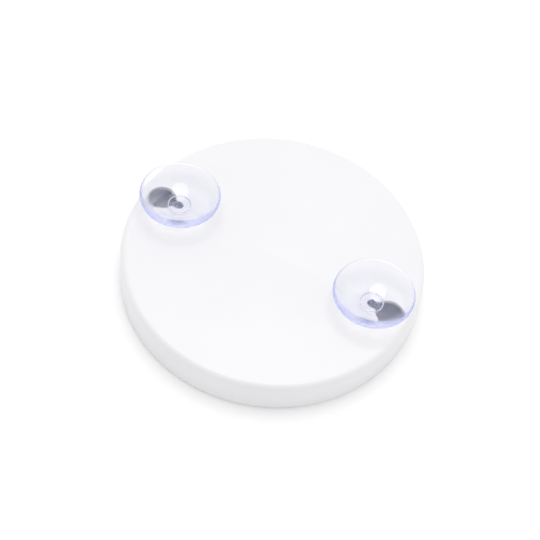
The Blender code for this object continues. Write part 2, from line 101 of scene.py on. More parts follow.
class Cut(Enum):
    """What a tool shape does to a workpiece."""

    AWAY = "DIFFERENCE"
    JOIN = "UNION"


# ---- Shapes -------------------------------------------------------------------------------------


@dataclass(frozen=True)
class Corner:
    """A point of a turned section, with the radius of its round."""

    r: float
    z: float
    round: float = 0.0


@dataclass(frozen=True)
class Place:
    """Where a round node stands in the frame: its axis, its radius and its two ends."""

    x: float
    y: float
    radius: float
    low: float
    high: float

    @classmethod
    def of(cls, node: str) -> Place:
        """Reads a node's box.

        Args:
            node: The CAD node's name.

        Returns:
            The node's axis, radius and ends at rest.
        """
        low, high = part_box(node)
        middle = (low + high) / 2
        return cls(middle.x, middle.y, (high.x - low.x) / 2, low.z, high.z)

    @property
    def middle(self) -> float:
        """The height of its middle."""
        return (self.low + self.high) / 2


def turned(section: Sequence[Corner], segments: int, ring: bool = False) -> bmesh.types.BMesh:
    """Turns a section about Z, after rounding its corners.

    Args:
        section: The section's corners in order. Unless it is a ring, both ends lie on the axis.
        segments: Steps in the full turn.
        ring: Whether the section is a closed loop, clear of the axis.

    Returns:
        The closed solid, facing out.
    """
    shape = bmesh.new()
    points = [shape.verts.new((corner.r, 0.0, corner.z)) for corner in section]
    for first, second in zip(points, points[1:]):
        shape.edges.new((first, second))
    if ring:
        shape.edges.new((points[-1], points[0]))
    for point, corner in zip(points, section):
        if corner.round:
            bmesh.ops.bevel(
                shape,
                geom=[point],
                offset=corner.round,
                offset_type="OFFSET",
                segments=max(LEAST_ROUND_STEPS, round(corner.round * ROUND_STEPS)),
                profile=0.5,
                affect="VERTICES",
                material=-1,
                clamp_overlap=True,
            )
    bmesh.ops.spin(
        shape,
        geom=shape.verts[:] + shape.edges[:],
        axis=(0, 0, 1),
        cent=(0, 0, 0),
        angle=math.tau,
        steps=segments,
        use_merge=True,
    )
    return faced(shape)


def faced(shape: bmesh.types.BMesh) -> bmesh.types.BMesh:
    """Merges a shape's doubles and turns its faces out.

    Args:
        shape: The workpiece.

    Returns:
        The same workpiece.
    """
    bmesh.ops.remove_doubles(shape, verts=shape.verts, dist=WELD)
    bmesh.ops.recalc_face_normals(shape, faces=shape.faces)
    return shape


def drill(
    x: float, y: float, radius: float, low: float, high: float, segments: int = 48
) -> bmesh.types.BMesh:
    """A closed cylinder on a vertical axis.

    Args:
        x: The axis's place along X.
        y: The axis's place along Y.
        radius: The cylinder's radius.
        low: Its lower end.
        high: Its upper end.
        segments: Sides of the cylinder.

    Returns:
        The cylinder as a bmesh.
    """
    shape = bmesh.new()
    bmesh.ops.create_cone(
        shape,
        cap_ends=True,
        segments=segments,
        radius1=radius,
        radius2=radius,
        depth=high - low,
        matrix=Matrix.Translation((x, y, (low + high) / 2)),
    )
    return shape


def bar(turn: float, start: float, end: float, width: float, low: float, high: float) -> bmesh.types.BMesh:
    """A box that runs outwards at an angle, such as a rib.

    Args:
        turn: The direction it runs in, in radians from +X.
        start: How far from the axis it starts.
        end: How far from the axis it ends.
        width: Its thickness.
        low: Its lower side.
        high: Its upper side.

    Returns:
        The bar as a bmesh.
    """
    shape = bmesh.new()
    size = Matrix.Diagonal((end - start, width, high - low, 1.0))
    place = Matrix.Translation(((start + end) / 2, 0, (low + high) / 2))
    bmesh.ops.create_cube(shape, size=1.0, matrix=Matrix.Rotation(turn, 4, "Z") @ place @ size)
    return shape


def meshed(shape: bmesh.types.BMesh, name: str) -> bpy.types.Mesh:
    """Ends a bmesh and keeps it as a mesh.

    Args:
        shape: The bmesh, which is freed.
        name: The mesh's name.

    Returns:
        The new mesh.
    """
    mesh = bpy.data.meshes.new(name)
    shape.to_mesh(mesh)
    shape.free()
    return mesh


def machined(shape: bmesh.types.BMesh, tools: Iterable[bmesh.types.BMesh], cut: Cut) -> bmesh.types.BMesh:
    """Cuts or joins tool shapes, one after another.

    Args:
        shape: The workpiece.
        tools: Closed shapes, each used once.
        cut: Whether they are taken away or joined.

    Returns:
        The new workpiece, with its flat faces whole.
    """
    work = bpy.data.objects.new("work", meshed(shape, "work"))
    bpy.context.scene.collection.objects.link(work)
    helpers = []
    for tool in tools:
        helper = bpy.data.objects.new("tool", meshed(tool, "tool"))
        bpy.context.scene.collection.objects.link(helper)
        helper.hide_render = True
        modifier = work.modifiers.new("Cut", "BOOLEAN")
        modifier.operation = cut.value
        modifier.solver = "EXACT"
        modifier.object = helper
        helpers.append(helper)
    bpy.context.view_layer.update()
    evaluated = work.evaluated_get(bpy.context.evaluated_depsgraph_get())
    result = bmesh.new()
    result.from_mesh(evaluated.to_mesh())
    evaluated.to_mesh_clear()
    for used in [work, *helpers]:
        mesh = used.data
        bpy.data.objects.remove(used)
        bpy.data.meshes.remove(mesh)
    bmesh.ops.remove_doubles(result, verts=result.verts, dist=WELD)
    bmesh.ops.dissolve_limit(
        result,
        angle_limit=FLAT_ANGLE,
        verts=result.verts,
        edges=result.edges,
        use_dissolve_boundaries=False,
    )
    return result


def eased(
    shape: bmesh.types.BMesh, amount: float, wanted: Callable[[Vector], bool], steps: int
) -> bmesh.types.BMesh:
    """Rounds the sharp edges whose middles pass a test.

    Args:
        shape: The workpiece.
        amount: The round's setback.
        wanted: Says of an edge's middle point whether the edge is rounded.
        steps: Segments across the round.

    Returns:
        The same workpiece.
    """
    edges = []
    for edge in shape.edges:
        if len(edge.link_faces) == 2 and edge.calc_face_angle(0.0) > CREASE_ANGLE:
            if wanted((edge.verts[0].co + edge.verts[1].co) / 2):
                edges.append(edge)
    bmesh.ops.bevel(
        shape,
        geom=edges,
        offset=amount,
        offset_type="OFFSET",
        segments=steps,
        profile=0.5,
        affect="EDGES",
        material=-1,
        clamp_overlap=True,
    )
    return shape


def around(count: int, radius: float, first: float = 0.0) -> list[tuple[float, float]]:
    """Equally spaced places on a circle.

    Args:
        count: How many places.
        radius: The circle's radius.
        first: The first one's angle in radians.

    Returns:
        (x, y) of each place.
    """
    turns = [first + math.tau * i / count for i in range(count)]
    return [(radius * math.cos(a), radius * math.sin(a)) for a in turns]


def on_rim(
    places: Sequence[tuple[float, float]], radius: float, level: Optional[float] = None
) -> Callable[[Vector], bool]:
    """A test for the edges round upright holes.

    Args:
        places: (x, y) of each hole.
        radius: The holes' radius.
        level: The height that a rim has to lie at, if only one counts.

    Returns:
        A test that says of a point whether it lies on a hole's rim.
    """

    def test(point: Vector) -> bool:
        """Whether a point lies on the rim of one of the holes."""
        near = any(math.hypot(point.x - x, point.y - y) < radius + NEAR for x, y in places)
        return near and (level is None or abs(point.z - level) < LEVEL)

    return test


def arc(r: float, z: float, radius: float, start: float, end: float, steps: int) -> list[Corner]:
    """Points along an arc of a section.

    Args:
        r: The arc's centre, off the axis.
        z: The arc's centre, in height.
        radius: The arc's radius.
        start: The first point's angle in degrees.
        end: The last point's angle in degrees.
        steps: Steps between them.

    Returns:
        The points as corners with no round.
    """
    turns = [math.radians(start + (end - start) * i / steps) for i in range(steps + 1)]
    return [Corner(r + radius * math.cos(a), z + radius * math.sin(a)) for a in turns]


# ---- Finishes -----------------------------------------------------------------------------------


# A node's input takes a number, a colour or direction, or another node's output.
Feed = Union[float, tuple[float, ...], bpy.types.NodeSocket]

# Most of a noise pattern's values lie between these.
COMMON_LOW = 0.3
COMMON_HIGH = 0.7


class Recipe:
    """A material being put together, node by node."""

    def __init__(self, name: str) -> None:
        """Starts a material with its shader and its Object coordinates.

        Args:
            name: The material's name.
        """
        self.material = bpy.data.materials.new(name)
        self.material.use_nodes = True
        self.tree = self.material.node_tree
        self.shader = self.tree.nodes["Principled BSDF"]
        self.place = self.tree.nodes.new("ShaderNodeTexCoord").outputs["Object"]

    def feed(self, node: bpy.types.Node, **inputs: Feed) -> None:
        """Sets or links some of a node's inputs.

        Args:
            node: The node.
            **inputs: A value or another node's output for each input, with underscores in place of spaces.
        """
        for name, value in inputs.items():
            socket = node.inputs[name.replace("_", " ")]
            if isinstance(value, bpy.types.NodeSocket):
                self.tree.links.new(value, socket)
            else:
                socket.default_value = value

    def add(self, kind: str, **inputs: Feed) -> bpy.types.Node:
        """Adds a node.

        Args:
            kind: The node's type, without the ShaderNode that each type's name starts with.
            **inputs: A value or another node's output for each input, with underscores in place of spaces.

        Returns:
            The new node.
        """
        node = self.tree.nodes.new(f"ShaderNode{kind}")
        self.feed(node, **inputs)
        return node

    def dress(self, **inputs: Feed) -> None:
        """Sets or links some of the shader's inputs."""
        self.feed(self.shader, **inputs)

    def noise(
        self, scale: float, detail: float = 3.0, stretch: tuple[float, float, float] = (1.0, 1.0, 1.0)
    ) -> bpy.types.NodeSocket:
        """Noise on Object coordinates.

        Args:
            scale: How many features to a metre.
            detail: How many finer layers it has.
            stretch: The scale along each axis.

        Returns:
            The noise's value.
        """
        mapping = self.add("Mapping", Vector=self.place, Scale=stretch)
        node = self.add("TexNoise", Vector=mapping.outputs["Vector"], Scale=scale, Detail=detail)
        return node.outputs["Fac"]

    def turning_marks(self, pitch: float, centre: tuple[float, float]) -> bpy.types.NodeSocket:
        """Fine rings about a vertical axis, as a lathe or a press tool leaves.

        Args:
            pitch: The distance from one ring to the next.
            centre: The axis's place.

        Returns:
            A value from 0 to 1 that varies along the radius.
        """
        node = self.add("TexNoise")
        node.noise_dimensions = "1D"
        self.feed(node, W=self.radius(centre), Scale=1.0 / pitch, Detail=4.0)
        return node.outputs["Fac"]

    def radius(self, centre: tuple[float, float]) -> bpy.types.NodeSocket:
        """The distance from a vertical axis.

        Args:
            centre: The axis's place.

        Returns:
            The distance in metres.
        """
        mapping = self.add(
            "Mapping", Vector=self.place, Location=(-centre[0], -centre[1], 0.0), Scale=(1.0, 1.0, 0.0)
        )
        length = self.add("VectorMath")
        length.operation = "LENGTH"
        self.tree.links.new(mapping.outputs["Vector"], length.inputs[0])
        return length.outputs["Value"]

    def spread(self, value: bpy.types.NodeSocket, low: float, high: float) -> bpy.types.NodeSocket:
        """Maps a value's middle range onto new limits.

        Args:
            value: A value that mostly lies between COMMON_LOW and COMMON_HIGH.
            low: What COMMON_LOW becomes.
            high: What COMMON_HIGH becomes.

        Returns:
            The mapped value.
        """
        node = self.add(
            "MapRange", Value=value, From_Min=COMMON_LOW, From_Max=COMMON_HIGH, To_Min=low, To_Max=high
        )
        return node.outputs["Result"]

    def shades(
        self, value: bpy.types.NodeSocket, dark: tuple[float, float, float], pale: tuple[float, float, float]
    ) -> bpy.types.NodeSocket:
        """Colours that run from dark to pale with a value.

        Args:
            value: A value that mostly lies between COMMON_LOW and COMMON_HIGH.
            dark: The colour at COMMON_LOW.
            pale: The colour at COMMON_HIGH.

        Returns:
            The colour.
        """
        node = self.add("ValToRGB", Fac=value)
        ends = zip(node.color_ramp.elements, (COMMON_LOW, COMMON_HIGH), (dark, pale))
        for element, position, colour in ends:
            element.position = position
            element.color = (*colour, 1.0)
        return node.outputs["Color"]

    def relief(
        self, height: bpy.types.NodeSocket, depth: float, under: Optional[bpy.types.NodeSocket] = None
    ) -> bpy.types.NodeSocket:
        """A bump layer.

        Args:
            height: The pattern.
            depth: How deep the pattern is, in metres.
            under: A bump layer below this one.

        Returns:
            The bumped normal.
        """
        node = self.add("Bump", Strength=1.0, Distance=depth, Height=height)
        if under:
            self.feed(node, Normal=under)
        return node.outputs["Normal"]


@dataclass(frozen=True)
class WhiteMoulding:
    """Glossy white ABS, as it leaves a polished mould."""

    dark: tuple[float, float, float] = (0.828, 0.828, 0.849)
    pale: tuple[float, float, float] = (0.848, 0.848, 0.868)
    roughness: tuple[float, float] = (0.30, 0.38)
    flow_scale: float = 22.0
    gloss_scale: float = 90.0
    wave_scale: float = 60.0
    wave_depth: float = 0.0000075
    grain_scale: float = 2600.0
    grain_depth: float = 0.0000025

    def made(self, name: str) -> bpy.types.Material:
        """The material, with faint flow shades and a fine mould grain.

        Args:
            name: The material's name.

        Returns:
            The new material.
        """
        recipe = Recipe(name)
        wave = recipe.relief(recipe.noise(self.wave_scale, detail=1.0), self.wave_depth)
        recipe.dress(
            Base_Color=recipe.shades(recipe.noise(self.flow_scale, detail=4.0), self.dark, self.pale),
            Roughness=recipe.spread(recipe.noise(self.gloss_scale, detail=5.0), *self.roughness),
            Normal=recipe.relief(recipe.noise(self.grain_scale, detail=2.0), self.grain_depth, wave),
            IOR=1.53,
        )
        return recipe.material


@dataclass(frozen=True)
class ClearVinyl:
    """Soft clear PVC with the blue-violet toner that keeps it from looking yellow."""

    centre: tuple[float, float] = (0.0, 0.0)
    tint: tuple[float, float, float] = (0.40, 0.46, 1.0)
    density: float = 17.0  # per metre
    haze: tuple[float, float, float] = (0.42, 0.50, 1.0)
    haze_density: float = 34.0  # per metre
    roughness: tuple[float, float] = (0.01, 0.04)
    smear_scale: float = 300.0
    lip_roughness: float = 0.14
    clear_radius: float = 0.0120
    lip_radius: float = 0.0160
    ripple_scale: float = 140.0
    ripple_depth: float = 0.000012

    def made(self, name: str) -> bpy.types.Material:
        """The material, rougher towards the lip, which absorbs and hazes the light on its way through.

        Args:
            name: The material's name.

        Returns:
            The new material.
        """
        recipe = Recipe(name)
        scuffs = recipe.add(
            "MapRange",
            Value=recipe.radius(self.centre),
            From_Min=self.clear_radius,
            From_Max=self.lip_radius,
            To_Min=0.0,
            To_Max=self.lip_roughness,
        )
        scuffs.interpolation_type = "SMOOTHSTEP"
        smears = recipe.spread(recipe.noise(self.smear_scale), *self.roughness)
        total = recipe.add("Math")
        total.operation = "ADD"
        recipe.tree.links.new(smears, total.inputs[0])
        recipe.tree.links.new(scuffs.outputs["Result"], total.inputs[1])
        recipe.dress(
            Base_Color=(1.0, 1.0, 1.0, 1.0),
            Transmission_Weight=1.0,
            IOR=1.53,
            Roughness=total.outputs["Value"],
            Normal=recipe.relief(recipe.noise(self.ripple_scale, detail=2.0), self.ripple_depth),
        )
        toner = recipe.add("VolumeAbsorption", Color=(*self.tint, 1.0), Density=self.density)
        milk = recipe.add("VolumeScatter", Color=(*self.haze, 1.0), Density=self.haze_density)
        both = recipe.add("AddShader")
        recipe.tree.links.new(toner.outputs["Volume"], both.inputs[0])
        recipe.tree.links.new(milk.outputs["Volume"], both.inputs[1])
        recipe.feed(recipe.tree.nodes["Material Output"], Volume=both.outputs["Shader"])
        return recipe.material


@dataclass(frozen=True)
class ZincPlate:
    """Bright zinc on pressed or turned steel, with rings about its own axis."""

    centre: tuple[float, float] = (0.0, 0.0)
    pitch: float = 0.0005
    dark: tuple[float, float, float] = (0.46, 0.47, 0.49)
    pale: tuple[float, float, float] = (0.68, 0.69, 0.71)
    roughness: tuple[float, float] = (0.22, 0.36)
    cloud_scale: float = 240.0
    ring_depth: float = 0.000004

    def made(self, name: str) -> bpy.types.Material:
        """The material, with turning marks and a faint cloud in the plating.

        Args:
            name: The material's name.

        Returns:
            The new material.
        """
        recipe = Recipe(name)
        rings = recipe.turning_marks(self.pitch, self.centre)
        recipe.dress(
            Base_Color=recipe.shades(recipe.noise(self.cloud_scale, detail=5.0), self.dark, self.pale),
            Roughness=recipe.spread(rings, *self.roughness),
            Normal=recipe.relief(rings, self.ring_depth),
            Metallic=1.0,
        )
        return recipe.material


@dataclass(frozen=True)
class PolishedSteel:
    """Lapped bearing steel with hairline marks."""

    dark: tuple[float, float, float] = (0.58, 0.59, 0.61)
    pale: tuple[float, float, float] = (0.72, 0.72, 0.74)
    roughness: tuple[float, float] = (0.05, 0.14)
    cloud_scale: float = 150.0
    hair_scale: float = 900.0
    hair_stretch: tuple[float, float, float] = (1.0, 6.0, 1.0)
    hair_depth: float = 0.0000008

    def made(self, name: str) -> bpy.types.Material:
        """The material, nearly a mirror.

        Args:
            name: The material's name.

        Returns:
            The new material.
        """
        recipe = Recipe(name)
        hairs = recipe.noise(self.hair_scale, detail=6.0, stretch=self.hair_stretch)
        recipe.dress(
            Base_Color=recipe.shades(recipe.noise(self.cloud_scale), self.dark, self.pale),
            Roughness=recipe.spread(hairs, *self.roughness),
            Normal=recipe.relief(hairs, self.hair_depth),
            Metallic=1.0,
        )
        return recipe.material


@dataclass(frozen=True)
class GrainedPlastic:
    """A plain plastic or rubber: a cloudy colour, and a grain that roughens it."""

    dark: tuple[float, float, float]
    pale: tuple[float, float, float]
    roughness: tuple[float, float]
    cloud: tuple[float, float]  # features to a metre, and finer layers
    grain: tuple[float, float]  # the same
    grain_depth: float
    bend: float  # its index of refraction

    def made(self, name: str) -> bpy.types.Material:
        """The material, in its two shades with its grain.

        Args:
            name: The material's name.

        Returns:
            The new material.
        """
        recipe = Recipe(name)
        grain = recipe.noise(*self.grain)
        recipe.dress(
            Base_Color=recipe.shades(recipe.noise(*self.cloud), self.dark, self.pale),
            Roughness=recipe.spread(grain, *self.roughness),
            Normal=recipe.relief(grain, self.grain_depth),
            IOR=self.bend,
        )
        return recipe.material


NATURAL_ACETAL = GrainedPlastic(
    dark=(0.66, 0.645, 0.59),
    pale=(0.74, 0.725, 0.67),
    roughness=(0.40, 0.52),
    cloud=(110.0, 4.0),
    grain=(1400.0, 3.0),
    grain_depth=0.000004,
    bend=1.48,
)
GREY_RUBBER = GrainedPlastic(
    dark=(0.028, 0.028, 0.030),
    pale=(0.055, 0.055, 0.058),
    roughness=(0.70, 0.88),
    cloud=(260.0, 6.0),
    grain=(2200.0, 4.0),
    grain_depth=0.000015,
    bend=1.5,
)


@dataclass
class Finishes:
    """The finishes that the pieces share."""

    white: bpy.types.Material = field(default_factory=lambda: WhiteMoulding().made("white ABS"))
    steel: bpy.types.Material = field(default_factory=lambda: ZincPlate().made("zinc plate"))
    balls: bpy.types.Material = field(default_factory=lambda: PolishedSteel().made("polished steel"))
    acetal: bpy.types.Material = field(default_factory=lambda: NATURAL_ACETAL.made("natural acetal"))
    rubber: bpy.types.Material = field(default_factory=lambda: GREY_RUBBER.made("grey rubber"))


# ---- Pieces -------------------------------------------------------------------------------------


def fit(
    name: str, shape: bmesh.types.BMesh, finish: bpy.types.Material, body: Body, stands_for: str
) -> bpy.types.Object:
    """Turns a finished bmesh into a piece of the turntable.

    Args:
        name: The piece's name.
        shape: Its closed shape, in place.
        finish: Its material.
        body: The body it moves with.
        stands_for: The CAD node it replaces.

    Returns:
        The new object, at the origin.
    """
    mesh = meshed(shape, name)
    mesh.materials.append(finish)
    mesh.shade_smooth()
    mesh.set_sharp_from_angle(angle=SMOOTH_ANGLE)
    piece = bpy.data.objects.new(name, mesh)
    bpy.context.scene.collection.objects.link(piece)
    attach(piece, body.value)
    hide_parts(stands_for)
    LOG.info("%s: %d faces", name, len(mesh.polygons))
    return piece


@dataclass
class Bearing:
    """Sizes of the ball race, which the mouldings are made to fit."""

    lower: Place = field(default_factory=lambda: Place.of("lower_race"))
    upper: Place = field(default_factory=lambda: Place.of("upper_race"))
    cage: Place = field(default_factory=lambda: Place.of("ball_cage"))
    ball: Place = field(default_factory=lambda: Place.of("ball_01"))
    ball_count: int = 12
    gap: float = 0.0003
    ball_clearance: float = 0.0002
    pocket_clearance: float = 0.00025
    band: float = 0.0045  # from the ball circle to the race's inner edge
    groove_depth: float = 0.0011
    screw_edge: float = 0.0030  # from the screw circle to the race's outer edge
    screw_hole: float = 0.0015
    screw_count: int = 4
    hole_ease: float = 0.0002
    pocket_ease: float = 0.00025
    groove_steps: int = 24
    segments: int = 192

    @property
    def circle(self) -> float:
        """Radius of the circle that the balls' centres lie on."""
        return self.ball.x

    @property
    def inner(self) -> float:
        """The races' inner radius."""
        return self.circle - self.band

    @property
    def screw_circle(self) -> float:
        """Radius of the circle that the screws lie on."""
        return self.lower.radius - self.screw_edge

    def screws(self) -> list[tuple[float, float]]:
        """(x, y) of each screw."""
        return around(self.screw_count, self.screw_circle, math.pi / self.screw_count)

    def race_shape(self, face: float, back: float) -> bmesh.types.BMesh:
        """One grooved ring with its screw holes.

        Args:
            face: The height of the grooved face.
            back: The height of the flat back.

        Returns:
            The ring as a bmesh.
        """
        up = 1 if face > back else -1
        groove = self.ball.radius + self.ball_clearance
        sink = groove - self.groove_depth
        edge = math.degrees(math.asin(sink / groove))
        floor = arc(self.circle, 0.0, groove, edge - 180, -edge, self.groove_steps)
        track = [Corner(c.r, face + up * (sink + c.z)) for c in floor]
        section = [
            Corner(self.inner, face, SMALL_ROUND),
            *track,
            Corner(self.lower.radius, face, SMALL_ROUND),
            Corner(self.lower.radius, back, SMALL_ROUND),
            Corner(self.inner, back, SMALL_ROUND),
        ]
        ring = turned(section, self.segments, ring=True)
        low, high = min(face, back) - OVERCUT, max(face, back) + OVERCUT
        holes = [drill(x, y, self.screw_hole, low, high) for x, y in self.screws()]
        ring = machined(ring, holes, Cut.AWAY)
        return eased(ring, self.hole_ease, on_rim(self.screws(), self.screw_hole), 2)

    def cage_shape(self) -> bmesh.types.BMesh:
        """The ring with a pocket for each ball.

        Returns:
            The ring as a bmesh.
        """
        width = self.cage.radius - self.circle
        section = [
            Corner(self.circle - width, self.cage.low, SMALL_ROUND),
            Corner(self.circle - width, self.cage.high, SMALL_ROUND),
            Corner(self.circle + width, self.cage.high, SMALL_ROUND),
            Corner(self.circle + width, self.cage.low, SMALL_ROUND),
        ]
        ring = turned(section, self.segments, ring=True)
        pocket = self.ball.radius + self.pocket_clearance
        low, high = self.cage.low - OVERCUT, self.cage.high + OVERCUT
        places = around(self.ball_count, self.circle)
        ring = machined(ring, [drill(x, y, pocket, low, high) for x, y in places], Cut.AWAY)
        return eased(ring, self.pocket_ease, on_rim(places, pocket), 2)

    def ball_shape(self, place: Place) -> bmesh.types.BMesh:
        """One ball.

        Args:
            place: Where it sits.

        Returns:
            The ball as a bmesh.
        """
        shape = bmesh.new()
        centre = Matrix.Translation((place.x, place.y, place.middle))
        bmesh.ops.create_icosphere(shape, subdivisions=4, radius=self.ball.radius, matrix=centre)
        return shape

    def build(self, finishes: Finishes) -> None:
        """Makes the races, the cage and the balls.

        Args:
            finishes: The shared finishes.
        """
        races = (
            ("lower", self.lower.high, self.lower.low, Body.BASE),
            ("upper", self.upper.low, self.upper.high, Body.PLATTER),
        )
        for row, face, back, body in races:
            shape = self.race_shape(face, back)
            fit(f"{row}_race_ring", shape, finishes.steel, body, f"{row}_race")
        fit("cage_ring", self.cage_shape(), finishes.acetal, Body.CAGE, "ball_cage")
        for i in range(self.ball_count):
            node = f"ball_{i + 1:02d}"
            shape = self.ball_shape(Place.of(node))
            fit(f"steel_{node}", shape, finishes.balls, Body.CAGE, node)


@dataclass
class PanHeadScrew:
    """A small self-tapping screw with a cross recess, standing on a vertical axis."""

    bearing: Bearing
    head_height: float = 0.0012
    shank_radius: float = 0.0012
    thread_rise: float = 0.0002
    pitch: float = 0.0007
    crown: float = 0.55  # flat top of the head, as a share of its radius
    crown_rise: float = 0.42  # height of the head's edge, as a share of its height
    recess: float = 0.0007
    recess_reach: float = 0.5  # the same share for the cross
    recess_width: float = 0.00042
    ring_pitch: float = 0.0002
    segments: int = 48

    def shape(self, place: Place, points_up: bool) -> bmesh.types.BMesh:
        """The screw in its place.

        Args:
            place: The CAD screw's axis, head radius and ends.
            points_up: Whether its point is at the top.

        Returns:
            The screw as a bmesh.
        """
        head = place.radius
        gap = self.bearing.gap
        length = place.high - place.low - self.head_height
        section = [
            Corner(0.0, self.head_height),
            Corner(head * self.crown, self.head_height, BROAD_ROUND),
            Corner(head, self.head_height * self.crown_rise, SMALL_ROUND),
            Corner(head, gap, HAIR_ROUND),
            Corner(self.shank_radius, gap),
        ]
        turns = int((length - self.shank_radius) / self.pitch)
        for i in range(turns):
            top = -gap - i * self.pitch
            section.append(Corner(self.shank_radius, top))
            section.append(Corner(self.shank_radius + self.thread_rise, top - self.pitch / 2))
        section += [Corner(self.shank_radius, -gap - turns * self.pitch), Corner(0.0, -length)]
        reach = head * self.recess_reach
        low, high = self.head_height - self.recess, self.head_height + OVERCUT / 2
        cross = [bar(turn, -reach, reach, self.recess_width, low, high) for turn in (0.0, math.pi / 2)]
        shape = machined(turned(section, self.segments), cross, Cut.AWAY)
        seat = place.low + self.head_height if points_up else place.high - self.head_height
        over = Matrix.Rotation(math.pi if points_up else 0.0, 4, "X")
        shape.transform(Matrix.Translation((place.x, place.y, seat)) @ over)
        return shape

    def build(self) -> None:
        """Makes the screws of both races, each with turning marks about its own axis."""
        rows = (("lower", Body.BASE, False), ("upper", Body.PLATTER, True))
        for row, body, points_up in rows:
            for i in range(self.bearing.screw_count):
                node = f"{row}_race_screw_{i + 1}"
                place = Place.of(node)
                plating = ZincPlate(centre=(place.x, place.y), pitch=self.ring_pitch)
                finish = plating.made(f"zinc {row} screw {i + 1}")
                fit(f"{row}_ring_screw_{i + 1}", self.shape(place, points_up), finish, body, node)


@dataclass
class Platter:
    """The one-piece skirted platter and what is moulded under it."""

    bearing: Bearing
    shell: Place = field(default_factory=lambda: Place.of("platter_shell"))
    cup: Place = field(default_factory=lambda: Place.of("suction_cup_right"))
    pivot: Place = field(default_factory=lambda: Place.of("pivot_screw"))
    flange: Place = field(default_factory=lambda: Place.of("pivot_bush"))
    wall: float = 0.0024
    edge_round: float = 0.0030
    corner_round: float = 0.0015
    skirt_round: float = 0.0005
    land_wall: float = 0.0020
    lip_wall: float = 0.0015
    lip_depth: float = 0.0015
    rib_count: int = 3
    rib_height: float = 0.0022
    rib_width: float = 0.0016
    boss_radius: float = 0.0078
    thread_hole: float = 0.0023
    pilot_depth: float = 0.0032
    slot_half: float = 0.0025
    entry_radius: float = 0.0068
    pitch: float = 0.0097  # from the entry's centre to the locked neck
    keyhole_round: float = 0.0004
    entry_steps: int = 72
    segments: int = 224

    @property
    def ceiling(self) -> float:
        """Height of the face's underside."""
        return self.shell.high - self.wall

    def section(self) -> list[Corner]:
        """Half section, from the middle of the face round to the foot of the boss.

        Returns:
            The section's corners.
        """
        inner = self.shell.radius - self.wall
        lip = self.bearing.upper.radius + self.bearing.gap
        land = self.bearing.upper.high + self.bearing.gap
        land_start = self.bearing.screw_circle - self.bearing.screw_hole - self.land_wall / 2
        boss_foot = self.flange.high + self.bearing.gap
        return [
            Corner(0.0, self.shell.high),
            Corner(self.shell.radius, self.shell.high, self.edge_round),
            Corner(self.shell.radius, self.shell.low, self.skirt_round),
            Corner(inner, self.shell.low, self.skirt_round),
            Corner(inner, self.ceiling, self.corner_round),
            Corner(lip + self.lip_wall, self.ceiling, WIDE_ROUND),
            Corner(lip + self.lip_wall, land - self.lip_depth, SMALL_ROUND),
            Corner(lip, land - self.lip_depth, SMALL_ROUND),
            Corner(lip, land),
            Corner(land_start, land, FINE_ROUND),
            Corner(land_start, self.ceiling, MEDIUM_ROUND),
            Corner(self.bearing.inner + self.land_wall, self.ceiling, MEDIUM_ROUND),
            Corner(self.bearing.inner + self.land_wall, land, FINE_ROUND),
            Corner(self.bearing.inner, land, FINE_ROUND),
            Corner(self.bearing.inner, self.ceiling, MEDIUM_ROUND),
            Corner(self.boss_radius, self.ceiling, BROAD_ROUND),
            Corner(self.boss_radius, boss_foot, SMALL_ROUND),
            Corner(0.0, boss_foot),
        ]

    def keyhole(self, side: int) -> list[bmesh.types.BMesh]:
        """The cutters of one keyhole: its round entry, its slot and the slot's round end.

        Args:
            side: +1 for the keyhole on +X, -1 for the one on -X.

        Returns:
            The closed cutters.
        """
        low, high = self.ceiling - self.wall, self.shell.high + self.wall
        neck = self.cup.x
        entry = neck + self.pitch
        slot = bar(0.0 if side > 0 else math.pi, neck, entry, 2 * self.slot_half, low, high)
        return [
            drill(side * entry, 0.0, self.entry_radius, low, high, self.entry_steps),
            slot,
            drill(side * neck, 0.0, self.slot_half, low, high),
        ]

    def on_keyhole(self, point: Vector) -> bool:
        """Whether a point lies on the rim of a keyhole, above or below the face.

        Args:
            point: The middle of an edge.

        Returns:
            Whether it lies on a rim.
        """
        reach = abs(point.x) - self.cup.x
        near = -self.slot_half - NEAR < reach < self.pitch + self.entry_radius + NEAR
        level = min(abs(point.z - self.shell.high), abs(point.z - self.ceiling))
        return near and abs(point.y) < self.entry_radius + NEAR and level < LEVEL

    def build(self, finishes: Finishes) -> None:
        """Turns the shell, adds its ribs, then cuts and eases its keyholes and holes.

        Args:
            finishes: The shared finishes.
        """
        reach = self.shell.radius - self.wall / 2
        turns = [math.pi * (i + 0.5) / self.rib_count for i in range(self.rib_count)]
        low, high = self.ceiling - self.rib_height, self.ceiling + self.wall / 2
        ribs = [bar(turn, -reach, reach, self.rib_width, low, high) for turn in turns]
        shape = machined(turned(self.section(), self.segments), ribs, Cut.JOIN)
        land = self.bearing.upper.high
        pilot, end = self.bearing.screw_hole, land + self.pilot_depth
        holes = [drill(x, y, pilot, land, end) for x, y in self.bearing.screws()]
        holes.append(drill(0.0, 0.0, self.thread_hole, self.flange.low, self.pivot.high + self.bearing.gap))
        for side in (-1, 1):
            holes += self.keyhole(side)
        shape = eased(machined(shape, holes, Cut.AWAY), self.keyhole_round, self.on_keyhole, 4)
        fit("platter_moulding", shape, finishes.white, Body.PLATTER, "platter_shell")


